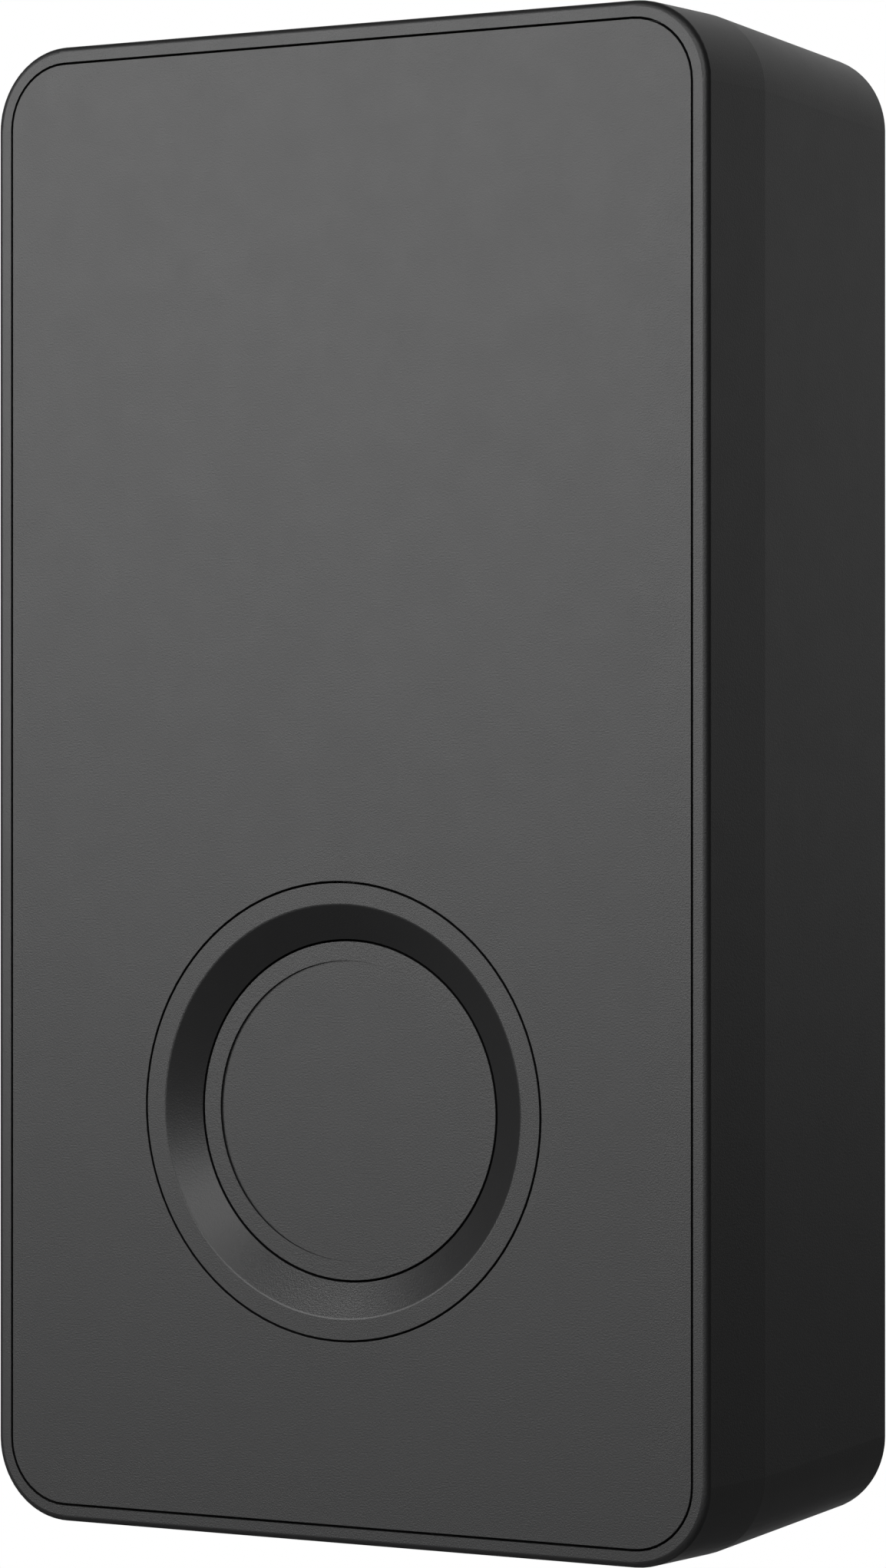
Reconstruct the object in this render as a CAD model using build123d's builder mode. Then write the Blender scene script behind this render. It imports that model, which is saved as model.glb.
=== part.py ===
from build123d import *
import os

# A battery doorbell push for a house wall: a tapered case of two shells on a wall bracket, with a
# face plate that pulls off over the cells and a round button in a dished ring.
# The origin is the middle of the face that lies on the wall. Seen by a caller, X runs to the right,
# Z runs up and the front looks along -Y. Depths are counted back from the front face.

# Case
DEPTH = 31.2
FRONT_W = 62.12
FRONT_H = 114.12
PARTING = 8.9
PARTING_GROWTH = 0.16
REAR_SHRINK = 0.7
WALL_GAP = 0.02
CORNER_R = 6.2
FRONT_EDGE_R = 0.5
REAR_EDGE_R = 0.15
WALL = 2.4
LIP = 1.2
TONGUE_END = 10.6
REBATE_END = 11.0
TONGUE_PLAY = 0.15
TOUCH_PLAY = 0.02

# Face plate and the deck that it lies on
RIM = 1.3
SEAM = 0.17
PLATE_T = 2.0
PLATE_EDGE_R = 0.04
DECK_FRONT = 2.2
DECK_BACK = 4.2
PEG_R = 1.3
PEG_PLAY = 0.05
PEG_END = 6.6
SOCKET_R = 2.6
SOCKET_END = 7.2
PEG_POINTS = [(-25.8, 24.0), (25.8, 24.0), (-11.0, -51.5), (11.0, -51.5)]
PLATE_SEAL_W = 1.3
PLATE_SEAL_GAP = 0.5
PLATE_SEAL_FRONT = 1.0
PRY_SLOT_W = 8.0
PRY_SLOT_T = 1.2

# Button and ring
BUTTON_Z = -24.6
RING_SEAM_R = 17.24
RING_SEAM = 0.15
DISH_R = 15.57
DISH_EDGE_R = 0.3
CAP_SEAM_R = 12.85
CAP_FACE = 1.24
CAP_RECESS_R = 11.33
CAP_RECESS = 0.2
CAP_EDGE_R = 0.04
CAP_CROWN_BACK = 3.5
CAP_SKIRT_R = 11.2
CAP_FLANGE_R = 13.9
CAP_FLANGE_FRONT = 7.5
CAP_BACK = 8.5
STEM_R = 2.5
STEM_END = 6.2
RING_FLANGE_BACK = 1.7
SLEEVE_R = 15.6
SLEEVE_END = 7.4
RING_HOLE_R = 15.75
NUT_R = 18.0
NUT_END = 6.4
NUT_NOTCHES = 6
NUT_NOTCH_W = 3.0
NUT_NOTCH_DEPTH = 1.2
SEAL_WIRE_R = 0.48
SEAL_GROOVE_R = 11.88
SEAL_GROOVE_FRONT = 4.9
SEAL_GROOVE_BACK = 6.1

# Cells and their tray
CELL_R = 7.1
CELL_LENGTH = 50.2
CELL_EDGE_R = 0.6
NUB_R = 2.7
NUB_H = 1.5
NUB_EDGE_R = 0.4
CELL_X = 7.7
CELL_DEPTH = 10.3
TRAY_Z = 24.0
TRAY_IN_W = 30.6
TRAY_IN_H = 54.4
TRAY_WALL = 1.4
TRAY_FRONT = 2.6
TRAY_FLOOR = 17.8
EAR_X = 20.2
EAR_REACH = 17.0
EAR_SIZE = 6.8
EAR_FRONT = 8.2
EAR_T = 1.6
CONTACT_T = 0.4
CONTACT_W = 12.6
CONTACT_FRONT = 4.0
CONTACT_BACK = 16.6
TAB_W = 3.0
TAB_REACH = 4.0
COIL_R = 4.0
COIL_WIRE_R = 0.3
COIL_TURNS = 2.5

# Board and what is on it
BOARD_W = 51.0
BOARD_TOP = -5.6
BOARD_BOTTOM = -46.2
BOARD_FRONT = 11.5
BOARD_T = 1.6
BOARD_POINTS = [(-22.0, -9.5), (22.0, -9.5), (-22.0, -42.3), (22.0, -42.3)]
SWITCH_SIZE = 6.2
SWITCH_H = 3.5
SWITCH_EDGE_R = 0.4
SWITCH_WELL_FLOOR = 1.0
SWITCH_PIN_Z = 2.2
SWITCH_PIN_W = 0.8
SWITCH_PIN_T = 0.3
SWITCH_PIN_REACH = 1.2
PLUNGER_R = 1.7
PLUNGER_PLAY = 0.15
PLUNGER_EDGE_R = 0.3
PLUNGER_FRONT = 6.25
PLUNGER_BACK = 9.0
SEAT_FRONT = 10.3
SEAT_GROOVE = 0.5
SEAT_INSIDE = 1.3
SEAT_OUTSIDE = 1.8
SPRING_R = 6.5
SPRING_WIRE_R = 0.35
SPRING_TURNS = 4.5
RADIO_POINT = (-14.0, -29.0)
RADIO_W = 16.0
RADIO_H = 22.0
RADIO_T = 0.8
RADIO_EDGE_R = 0.6
SHIELD_POINT = (-14.0, -31.5)
SHIELD_W = 14.0
SHIELD_H = 15.0
SHIELD_REACH = 2.2
SHIELD_SHEET = 0.3
SHIELD_EDGE_R = 0.8
ANTENNA_X = -6.0
ANTENNA_Z = -42.2
ANTENNA_R = 2.6
ANTENNA_WIRE_R = 0.35
ANTENNA_TURNS = 8
ANTENNA_LENGTH = 16.0
CAPACITOR_POINT = (15.5, -24.0)
CAPACITOR_R = 3.1
CAPACITOR_BASE = 6.6
CAPACITOR_BASE_T = 1.4
CAPACITOR_BASE_R = 0.8
CAPACITOR_REACH = 7.7
CAPACITOR_EDGE_R = 0.5
# Chips: width, height, thickness, corner radius and places
CHIPS = [
    (7.0, 7.0, 1.0, 0.3, [(0.0, -32.0)]),
    (5.0, 4.0, 1.5, 0.3, [(2.0, -20.0), (8.0, -36.0)]),
    (3.2, 2.5, 0.8, 0.3, [(9.0, -30.0), (-15.0, -13.0)]),
    (1.6, 0.9, 0.7, 0.1, [(-3.0, -14.0), (0.0, -14.0), (3.0, -14.0)]),
]

# Fasteners
CASE_SCREW_POINTS = [(-24.2, 50.0), (24.2, 50.0), (-24.2, -50.0), (24.2, -50.0)]
CASE_BOSS_R = 3.3
CASE_COLUMN_END = 9.2
CASE_BOSS_FRONT = 9.3
CASE_HEAD_R = 2.4
CASE_HEAD_SEAT = 4.0
CASE_SCREW_R = 1.25
CASE_SCREW_END = 17.0
SMALL_SCREW_R = 0.9
SMALL_HEAD_R = 1.9
SMALL_HEAD_H = 1.3
THREAD_PLAY = 0.03
SHANK_PLAY = 0.2
# Screw proportions: head rounding and recess depth to head height, recess arms to head radius,
# point chamfer to shank radius
HEAD_ROUND = 0.35
CROSS_DEPTH = 0.55
CROSS_SPAN = 1.2
CROSS_ARM_W = 0.3
POINT_CHAMFER = 0.4

# Wall bracket
RECESS_W = 54.4
RECESS_H = 106.4
RECESS_R = 3.5
RECESS_FRONT = 28.6
BACK_WALL_T = 2.0
BRACKET_PLAY = 0.4
BRACKET_FRONT = 28.7
WALL_SCREW_SPACING = 60.0
WALL_SLOT_W = 4.5
WALL_SLOT_LENGTH = 10.0
HEAD_POCKET_W = 10.0
HEAD_POCKET_DEPTH = 3.2
POCKET_WALL = 1.6
TONGUE_X = 15.0
TONGUE_W = 10.0
TONGUE_REACH = 1.6
TONGUE_T = 1.0
LUG_W = 11.0
LUG_H = 6.4
LUG_Z = -49.2
LUG_FRONT = 22.8
LUG_PLAY = 0.6
SECURITY_DEPTH = 25.6
SECURITY_R = 1.5
SECURITY_HEAD_R = 2.75
SECURITY_HEAD_H = 1.7
SECURITY_SEAT_Z = -54.7
SECURITY_LENGTH = 7.2
INSERT_R = 2.3
INSERT_H = 5.2

# Sizes that follow from those above
PART_W = FRONT_W + 2 * PARTING_GROWTH
PART_H = FRONT_H + 2 * PARTING_GROWTH
REAR_FACE = DEPTH - WALL_GAP
REAR_W = PART_W - 2 * REAR_SHRINK
REAR_H = PART_H - 2 * REAR_SHRINK
BACK_WALL = RECESS_FRONT - BACK_WALL_T
CAVITY_SHRINK = REAR_SHRINK * (BACK_WALL - PARTING) / (REAR_FACE - PARTING)
CAVITY_W = FRONT_W - 2 * WALL
CAVITY_H = FRONT_H - 2 * WALL
CAVITY_R = CORNER_R - WALL
PLATE_W = FRONT_W - 2 * RIM - SEAM
PLATE_H = FRONT_H - 2 * RIM - SEAM
PLATE_R = CORNER_R - RIM - SEAM / 2
RING_R = RING_SEAM_R - RING_SEAM / 2
BORE_R = CAP_SEAM_R + SEAM / 2
CAP_R = CAP_SEAM_R - SEAM / 2
TRAY_W = TRAY_IN_W + 2 * TRAY_WALL
TRAY_H = TRAY_IN_H + 2 * TRAY_WALL
TRAY_BACK = TRAY_FLOOR + TRAY_WALL
TRAY_TOP = TRAY_Z + TRAY_IN_H / 2
TRAY_BOTTOM = TRAY_Z - TRAY_IN_H / 2
EAR_POINTS = [(x, TRAY_Z + z) for x in (-EAR_X, EAR_X) for z in (-EAR_REACH, EAR_REACH)]
BOARD_BACK = BOARD_FRONT + BOARD_T
BOARD_H = BOARD_TOP - BOARD_BOTTOM
BOARD_Z = (BOARD_TOP + BOARD_BOTTOM) / 2
SWITCH_FRONT = BOARD_FRONT - SWITCH_H
WALL_SCREW_POINTS = [(0, -WALL_SCREW_SPACING / 2), (0, WALL_SCREW_SPACING / 2)]

BUTTON_POINT = [(0, BUTTON_Z)]
BUTTON_PLANE = Plane(origin=(0, -DEPTH, BUTTON_Z), x_dir=(0, 1, 0), z_dir=(1, 0, 0))
BUTTON_AXIS = Axis((0, -DEPTH, BUTTON_Z), (0, 1, 0))

os.makedirs("parts", exist_ok=True)


def at_depth(depth):
    """Plane parallel to the wall, this far behind the front face, looking at the caller."""
    return Plane.XZ.offset(DEPTH - depth)


def block(width, height, radius, start, end, points=((0, 0),), mode=Mode.ADD):
    """Round-cornered blocks, or pockets of that shape, between two depths."""
    with BuildSketch(at_depth(start)) as outline:
        with Locations(*points):
            RectangleRounded(width, height, radius)
    extrude(outline.sketch, amount=start - end, mode=mode)


def frame(outer, inner, start, end, points=((0, 0),), mode=Mode.ADD):
    """A round-cornered frame between two depths. Each outline is a width, a height and a radius."""
    with BuildSketch(at_depth(start)) as outline:
        with Locations(*points):
            RectangleRounded(*outer)
            RectangleRounded(*inner, mode=Mode.SUBTRACT)
    extrude(outline.sketch, amount=start - end, mode=mode)


def tapered(start_size, end_size, radius, start, end, mode=Mode.ADD):
    """A round-cornered block whose width and height change evenly between two depths."""
    with BuildSketch(at_depth(start)) as front:
        RectangleRounded(*start_size, radius)
    with BuildSketch(at_depth(end)) as back:
        RectangleRounded(*end_size, radius)
    loft([front.sketch, back.sketch], ruled=True, mode=mode)


def posts(points, radius, start, end, mode=Mode.ADD):
    """Round posts, or holes, between two depths."""
    with BuildSketch(at_depth(start)) as circles:
        with Locations(*points):
            Circle(radius)
    extrude(circles.sketch, amount=start - end, mode=mode)


def upright(radius, low, high, mode=Mode.ADD):
    """A round rod or hole on the security screw's line, between two heights."""
    with BuildSketch(Plane.XY.offset(low)) as circle:
        with Locations((0, SECURITY_DEPTH - DEPTH)):
            Circle(radius)
    extrude(circle.sketch, amount=high - low, mode=mode)


def turned(points):
    """Revolve a closed outline of depths and radii about the button's axis."""
    with BuildSketch(BUTTON_PLANE) as outline:
        with BuildLine():
            Polyline(*points, close=True)
        make_face()
    revolve(outline.sketch, axis=BUTTON_AXIS)


def coil(radius, wire_radius, turns, length, centre, direction):
    """An open coil of round wire whose end circles are centred on its first and last turn."""
    with BuildPart() as spring:
        with BuildLine() as path:
            Helix(pitch=length / turns, height=length, radius=radius, center=centre, direction=direction)
        with BuildSketch(Plane(origin=path.line @ 0, z_dir=path.line % 0)):
            Circle(wire_radius)
        sweep(path=path.line, is_frenet=True)
    return spring.part


def pan_screw(head_radius, head_height, shank_radius, length):
    """A pan-head screw with a cross recess, seated on z = 0 with its head up."""
    with BuildPart() as screw:
        Cylinder(head_radius, head_height, align=(Align.CENTER, Align.CENTER, Align.MIN))
        fillet(screw.edges().group_by(Axis.Z)[-1], radius=HEAD_ROUND * head_height)
        with BuildSketch(Plane.XY.offset(head_height)):
            Rectangle(CROSS_SPAN * head_radius, CROSS_ARM_W * head_radius)
            Rectangle(CROSS_ARM_W * head_radius, CROSS_SPAN * head_radius)
        extrude(amount=-CROSS_DEPTH * head_height, mode=Mode.SUBTRACT)
        Cylinder(shank_radius, length, align=(Align.CENTER, Align.CENTER, Align.MAX))
        chamfer(screw.edges().group_by(Axis.Z)[0], length=POINT_CHAMFER * shank_radius)
    return screw.part


def seats(points, depth, facing):
    """Planes at points of the front view, at one depth, that face the caller (-1) or the wall (1)."""
    return [Plane(origin=(x, depth - DEPTH, z), x_dir=(1, 0, 0), z_dir=(0, facing, 0)) for x, z in points]


# Rear housing: a tub that narrows to the wall, sunk at the back for the bracket
with BuildPart() as rear_housing:
    tapered((PART_W, PART_H), (REAR_W, REAR_H), CORNER_R, PARTING, REAR_FACE)
    fillet(rear_housing.edges().group_by(Axis.Y)[-1], radius=REAR_EDGE_R)
    tapered(
        (CAVITY_W, CAVITY_H),
        (CAVITY_W - 2 * CAVITY_SHRINK, CAVITY_H - 2 * CAVITY_SHRINK),
        CAVITY_R,
        PARTING,
        BACK_WALL,
        mode=Mode.SUBTRACT,
    )
    block(PART_W - 2 * LIP, PART_H - 2 * LIP, CORNER_R - LIP, PARTING, REBATE_END, mode=Mode.SUBTRACT)
    block(RECESS_W, RECESS_H, RECESS_R, RECESS_FRONT, REAR_FACE, mode=Mode.SUBTRACT)
    # Pockets in the rim for the bracket's two tongues
    block(
        TONGUE_W + 2 * BRACKET_PLAY,
        2 * (TONGUE_REACH + BRACKET_PLAY),
        BRACKET_PLAY,
        RECESS_FRONT,
        BRACKET_FRONT + TONGUE_T + BRACKET_PLAY,
        points=[(-TONGUE_X, RECESS_H / 2), (TONGUE_X, RECESS_H / 2)],
        mode=Mode.SUBTRACT,
    )
    # Bosses that take the case screws
    posts(CASE_SCREW_POINTS, CASE_BOSS_R, CASE_BOSS_FRONT, BACK_WALL)
    posts(CASE_SCREW_POINTS, CASE_SCREW_R + THREAD_PLAY, PARTING, CASE_SCREW_END + LIP, mode=Mode.SUBTRACT)
    # Blisters that make room for the heads of the two wall screws
    head_pocket_h = HEAD_POCKET_W + WALL_SLOT_LENGTH - WALL_SLOT_W
    block(
        HEAD_POCKET_W + 2 * POCKET_WALL,
        head_pocket_h + 2 * POCKET_WALL,
        HEAD_POCKET_W / 2,
        RECESS_FRONT - HEAD_POCKET_DEPTH - POCKET_WALL,
        BACK_WALL,
        points=WALL_SCREW_POINTS,
    )
    block(
        HEAD_POCKET_W,
        head_pocket_h,
        HEAD_POCKET_W / 2 - POCKET_WALL,
        RECESS_FRONT - HEAD_POCKET_DEPTH,
        RECESS_FRONT,
        points=WALL_SCREW_POINTS,
        mode=Mode.SUBTRACT,
    )
    # Pocket for the bracket's lug, walled off from the inside
    lug_pocket_w = LUG_W + 2 * LUG_PLAY
    lug_pocket_h = LUG_H + 2 * LUG_PLAY
    block(
        lug_pocket_w + 2 * POCKET_WALL,
        lug_pocket_h + 4 * POCKET_WALL,
        POCKET_WALL,
        LUG_FRONT - LUG_PLAY - POCKET_WALL,
        BACK_WALL,
        points=[(0, LUG_Z)],
    )
    block(
        lug_pocket_w,
        lug_pocket_h,
        LUG_PLAY,
        LUG_FRONT - LUG_PLAY,
        RECESS_FRONT,
        points=[(0, LUG_Z)],
        mode=Mode.SUBTRACT,
    )
    # Sunk hole for the security screw, from below
    upright(SECURITY_R + SHANK_PLAY, -PART_H / 2, LUG_Z, mode=Mode.SUBTRACT)
    upright(SECURITY_HEAD_R + SHANK_PLAY, -PART_H / 2, SECURITY_SEAT_Z, mode=Mode.SUBTRACT)
rear_housing.part.label = "rear_housing"
export_step(rear_housing.part, "parts/rear_housing.step")

# Front cover: a band that widens to the parting line, with a deck across it behind the face plate
with BuildPart() as front_cover:
    tapered((FRONT_W, FRONT_H), (PART_W, PART_H), CORNER_R, 0, PARTING)
    fillet(front_cover.edges().group_by(Axis.Y)[0], radius=FRONT_EDGE_R)
    block(PLATE_W + 2 * SEAM, PLATE_H + 2 * SEAM, PLATE_R + SEAM, 0, DECK_FRONT, mode=Mode.SUBTRACT)
    block(CAVITY_W, CAVITY_H, CAVITY_R, DECK_BACK, PARTING, mode=Mode.SUBTRACT)
    tongue_cut = LIP + TONGUE_PLAY
    frame(
        (PART_W - 2 * tongue_cut, PART_H - 2 * tongue_cut, CORNER_R - tongue_cut),
        (CAVITY_W, CAVITY_H, CAVITY_R),
        PARTING,
        TONGUE_END,
    )
    # Openings for the ring and for the battery tray
    posts(BUTTON_POINT, RING_HOLE_R, DECK_FRONT, DECK_BACK, mode=Mode.SUBTRACT)
    block(
        TRAY_W + 2 * TONGUE_PLAY,
        TRAY_H + 2 * TONGUE_PLAY,
        TRAY_WALL,
        DECK_FRONT,
        DECK_BACK,
        points=[(0, TRAY_Z)],
        mode=Mode.SUBTRACT,
    )
    # Case screw columns with sunk seats
    posts(CASE_SCREW_POINTS, CASE_BOSS_R, DECK_BACK, CASE_COLUMN_END)
    posts(CASE_SCREW_POINTS, CASE_SCREW_R + SHANK_PLAY, DECK_FRONT, PARTING + LIP, mode=Mode.SUBTRACT)
    posts(CASE_SCREW_POINTS, CASE_HEAD_R + SHANK_PLAY, DECK_FRONT, CASE_HEAD_SEAT, mode=Mode.SUBTRACT)
    # Sockets for the face plate's pegs
    posts(PEG_POINTS, SOCKET_R, DECK_BACK, SOCKET_END)
    posts(PEG_POINTS, PEG_R + PEG_PLAY, DECK_FRONT, SOCKET_END, mode=Mode.SUBTRACT)
    # Standoffs that carry the battery tray and the board
    small_pilot = SMALL_SCREW_R + THREAD_PLAY
    posts(EAR_POINTS, SOCKET_R, DECK_BACK, EAR_FRONT)
    posts(EAR_POINTS, small_pilot, DECK_BACK, EAR_FRONT, mode=Mode.SUBTRACT)
    posts(BOARD_POINTS, SOCKET_R, DECK_BACK, BOARD_FRONT)
    posts(BOARD_POINTS, small_pilot, SOCKET_END, BOARD_FRONT, mode=Mode.SUBTRACT)
    # Slot in the lower rim, where a tool lifts the face plate
    block(
        PRY_SLOT_W,
        4 * RIM,
        PRY_SLOT_T / 4,
        DECK_FRONT - PRY_SLOT_T,
        DECK_FRONT,
        points=[(0, -FRONT_H / 2)],
        mode=Mode.SUBTRACT,
    )
front_cover.part.label = "front_cover"
export_step(front_cover.part, "parts/front_cover.step")

with BuildPart() as case_gasket:
    frame(
        (PART_W - 2 * tongue_cut, PART_H - 2 * tongue_cut, CORNER_R - tongue_cut),
        (CAVITY_W, CAVITY_H, CAVITY_R),
        TONGUE_END,
        REBATE_END,
    )
case_gasket.part.label = "case_gasket"
export_step(case_gasket.part, "parts/case_gasket.step")

case_head_h = CASE_HEAD_SEAT - DECK_FRONT - SHANK_PLAY
with BuildPart() as case_screws:
    with Locations(*seats(CASE_SCREW_POINTS, CASE_HEAD_SEAT, -1)):
        add(pan_screw(CASE_HEAD_R, case_head_h, CASE_SCREW_R, CASE_SCREW_END - CASE_HEAD_SEAT))
case_screws.part.label = "case_screws"
export_step(case_screws.part, "parts/case_screws.step")

# Wall bracket: a plate with two slots, tongues at the top and a lug for the security screw
with BuildPart() as wall_bracket:
    bracket_w = RECESS_W - 2 * BRACKET_PLAY
    bracket_h = RECESS_H - 2 * BRACKET_PLAY
    block(bracket_w, bracket_h, RECESS_R - BRACKET_PLAY, BRACKET_FRONT, DEPTH)
    block(
        TONGUE_W,
        2 * TONGUE_REACH,
        BRACKET_PLAY,
        BRACKET_FRONT,
        BRACKET_FRONT + TONGUE_T,
        points=[(-TONGUE_X, bracket_h / 2), (TONGUE_X, bracket_h / 2)],
    )
    block(LUG_W, LUG_H, LUG_PLAY, LUG_FRONT, DEPTH, points=[(0, LUG_Z)])
    with BuildSketch(at_depth(BRACKET_FRONT)):
        with Locations(*WALL_SCREW_POINTS):
            SlotOverall(WALL_SLOT_LENGTH, WALL_SLOT_W, rotation=90)
    extrude(amount=BRACKET_FRONT - DEPTH, mode=Mode.SUBTRACT)
    upright(INSERT_R, LUG_Z - LUG_H / 2, LUG_Z - LUG_H / 2 + INSERT_H, mode=Mode.SUBTRACT)
wall_bracket.part.label = "wall_bracket"
export_step(wall_bracket.part, "parts/wall_bracket.step")

with BuildPart() as bracket_insert:
    upright(INSERT_R - THREAD_PLAY, LUG_Z - LUG_H / 2, LUG_Z - LUG_H / 2 + INSERT_H)
    upright(SECURITY_R + THREAD_PLAY, LUG_Z - LUG_H / 2, LUG_Z - LUG_H / 2 + INSERT_H, mode=Mode.SUBTRACT)
bracket_insert.part.label = "bracket_insert"
export_step(bracket_insert.part, "parts/bracket_insert.step")

with BuildPart() as security_screw:
    with Locations(Plane(origin=(0, SECURITY_DEPTH - DEPTH, SECURITY_SEAT_Z), z_dir=(0, 0, -1))):
        add(pan_screw(SECURITY_HEAD_R, SECURITY_HEAD_H, SECURITY_R, SECURITY_LENGTH))
security_screw.part.label = "security_screw"
export_step(security_screw.part, "parts/security_screw.step")

# Battery tray, open to the front, with a low rib between the cells and slots for the two tabs
with BuildPart() as battery_tray:
    block(TRAY_W, TRAY_H, TRAY_WALL, TRAY_FRONT, TRAY_BACK, points=[(0, TRAY_Z)])
    block(
        TRAY_IN_W,
        TRAY_IN_H,
        TRAY_WALL / 2,
        TRAY_FRONT,
        TRAY_FLOOR,
        points=[(0, TRAY_Z)],
        mode=Mode.SUBTRACT,
    )
    rib_h = TRAY_IN_H - 4 * TRAY_WALL
    block(TRAY_WALL, rib_h, TRAY_WALL / 4, TRAY_FLOOR - 2 * TRAY_WALL, TRAY_BACK, points=[(0, TRAY_Z)])
    # Ears for the tray screws, each one rooted in the wall
    ear_root = TRAY_IN_W / 2 + TRAY_WALL / 4
    ear_end = EAR_X + EAR_SIZE / 2
    ear_x = (ear_root + ear_end) / 2
    block(
        ear_end - ear_root,
        EAR_SIZE,
        TRAY_WALL / 2,
        EAR_FRONT,
        EAR_FRONT + EAR_T,
        points=[(x, TRAY_Z + z) for x in (-ear_x, ear_x) for z in (-EAR_REACH, EAR_REACH)],
    )
    posts(EAR_POINTS, SMALL_SCREW_R + SHANK_PLAY, EAR_FRONT, EAR_FRONT + EAR_T, mode=Mode.SUBTRACT)
    block(
        TAB_W + 2 * SHANK_PLAY,
        4 * TRAY_WALL,
        SHANK_PLAY,
        BOARD_BACK - SHANK_PLAY,
        BOARD_BACK + CONTACT_T + SHANK_PLAY,
        points=[(-CELL_X, TRAY_BOTTOM), (CELL_X, TRAY_BOTTOM)],
        mode=Mode.SUBTRACT,
    )
battery_tray.part.label = "battery_tray"
export_step(battery_tray.part, "parts/battery_tray.step")

tray_screw_length = EAR_FRONT + EAR_T - DECK_BACK - SHANK_PLAY
with BuildPart() as tray_screws:
    with Locations(*seats(EAR_POINTS, EAR_FRONT + EAR_T, 1)):
        add(pan_screw(SMALL_HEAD_R, SMALL_HEAD_H, SMALL_SCREW_R, tray_screw_length))
tray_screws.part.label = "tray_screws"
export_step(tray_screws.part, "parts/tray_screws.step")


def cell(x, base, up):
    """A dry cell that stands on its flat end at a height, with its nub up (1) or down (-1)."""
    can = CELL_LENGTH - NUB_H
    with BuildPart() as piece:
        with BuildSketch(Plane(origin=(x, CELL_DEPTH - DEPTH, base), z_dir=(0, 0, up))):
            Circle(CELL_R)
        extrude(amount=can)
        fillet(piece.edges().filter_by(GeomType.CIRCLE), radius=CELL_EDGE_R)
        with BuildSketch(Plane(origin=(x, CELL_DEPTH - DEPTH, base + up * can), z_dir=(0, 0, up))):
            Circle(NUB_R)
        extrude(amount=NUB_H)
        fillet(piece.edges().group_by(Axis.Z)[-1 if up > 0 else 0], radius=NUB_EDGE_R)
    return piece


left_base = TRAY_TOP - CONTACT_T - TOUCH_PLAY - CELL_LENGTH
right_base = TRAY_BOTTOM + CONTACT_T + TOUCH_PLAY + CELL_LENGTH

cell_left = cell(-CELL_X, left_base, 1)
cell_left.part.label = "cell_left"
export_step(cell_left.part, "parts/cell_left.step")

cell_right = cell(CELL_X, right_base, -1)
cell_right.part.label = "cell_right"
export_step(cell_right.part, "parts/cell_right.step")


def contact_plate(low, x, width):
    """A flat contact across the end of a cell, standing on a height."""
    middle = (x, (CONTACT_FRONT + CONTACT_BACK) / 2 - DEPTH)
    with BuildSketch(Plane.XY.offset(low)) as plate:
        with Locations(middle):
            RectangleRounded(width, CONTACT_BACK - CONTACT_FRONT, TRAY_WALL)
    extrude(plate.sketch, amount=CONTACT_T)


def contact_tab(x):
    """The tab that runs from a contact down through the tray onto the back of the board."""
    tab_h = TRAY_BOTTOM + CONTACT_T - BOARD_TOP + TAB_REACH
    middle = (x, BOARD_TOP - TAB_REACH + tab_h / 2)
    block(TAB_W, tab_h, CONTACT_T / 2, BOARD_BACK, BOARD_BACK + CONTACT_T, points=[middle])


with BuildPart() as contact_bridge:
    contact_plate(TRAY_TOP - CONTACT_T, 0, 2 * CELL_X + CONTACT_W)
contact_bridge.part.label = "contact_bridge"
export_step(contact_bridge.part, "parts/contact_bridge.step")

with BuildPart() as contact_negative:
    contact_plate(TRAY_BOTTOM, -CELL_X, CONTACT_W)
    contact_tab(-CELL_X)
contact_negative.part.label = "contact_negative"
export_step(contact_negative.part, "parts/contact_negative.step")

with BuildPart() as contact_positive:
    contact_plate(TRAY_BOTTOM, CELL_X, CONTACT_W)
    contact_tab(CELL_X)
contact_positive.part.label = "contact_positive"
export_step(contact_positive.part, "parts/contact_positive.step")

wire_room = COIL_WIRE_R + TOUCH_PLAY
coil_length = left_base - (TRAY_BOTTOM + CONTACT_T) - 2 * wire_room
with BuildPart() as contact_springs:
    low_end = (-CELL_X, CELL_DEPTH - DEPTH, TRAY_BOTTOM + CONTACT_T + wire_room)
    high_end = (CELL_X, CELL_DEPTH - DEPTH, right_base + wire_room)
    add(coil(COIL_R, COIL_WIRE_R, COIL_TURNS, coil_length, low_end, (0, 0, 1)))
    add(coil(COIL_R, COIL_WIRE_R, COIL_TURNS, coil_length, high_end, (0, 0, 1)))
contact_springs.part.label = "contact_springs"
export_step(contact_springs.part, "parts/contact_springs.step")

# Board behind the button, screwed to the cover's standoffs
with BuildPart() as main_board:
    block(BOARD_W, BOARD_H, TRAY_WALL, BOARD_FRONT, BOARD_BACK, points=[(0, BOARD_Z)])
    posts(BOARD_POINTS, SMALL_SCREW_R + SHANK_PLAY, BOARD_FRONT, BOARD_BACK, mode=Mode.SUBTRACT)
main_board.part.label = "main_board"
export_step(main_board.part, "parts/main_board.step")

board_screw_length = BOARD_BACK - SOCKET_END - SHANK_PLAY
with BuildPart() as board_screws:
    with Locations(*seats(BOARD_POINTS, BOARD_BACK, 1)):
        add(pan_screw(SMALL_HEAD_R, SMALL_HEAD_H, SMALL_SCREW_R, board_screw_length))
board_screws.part.label = "board_screws"
export_step(board_screws.part, "parts/board_screws.step")

radio_back = BOARD_BACK + RADIO_T
with BuildPart() as radio_board:
    block(RADIO_W, RADIO_H, RADIO_EDGE_R, BOARD_BACK, radio_back, points=[RADIO_POINT])
radio_board.part.label = "radio_board"
export_step(radio_board.part, "parts/radio_board.step")

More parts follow.
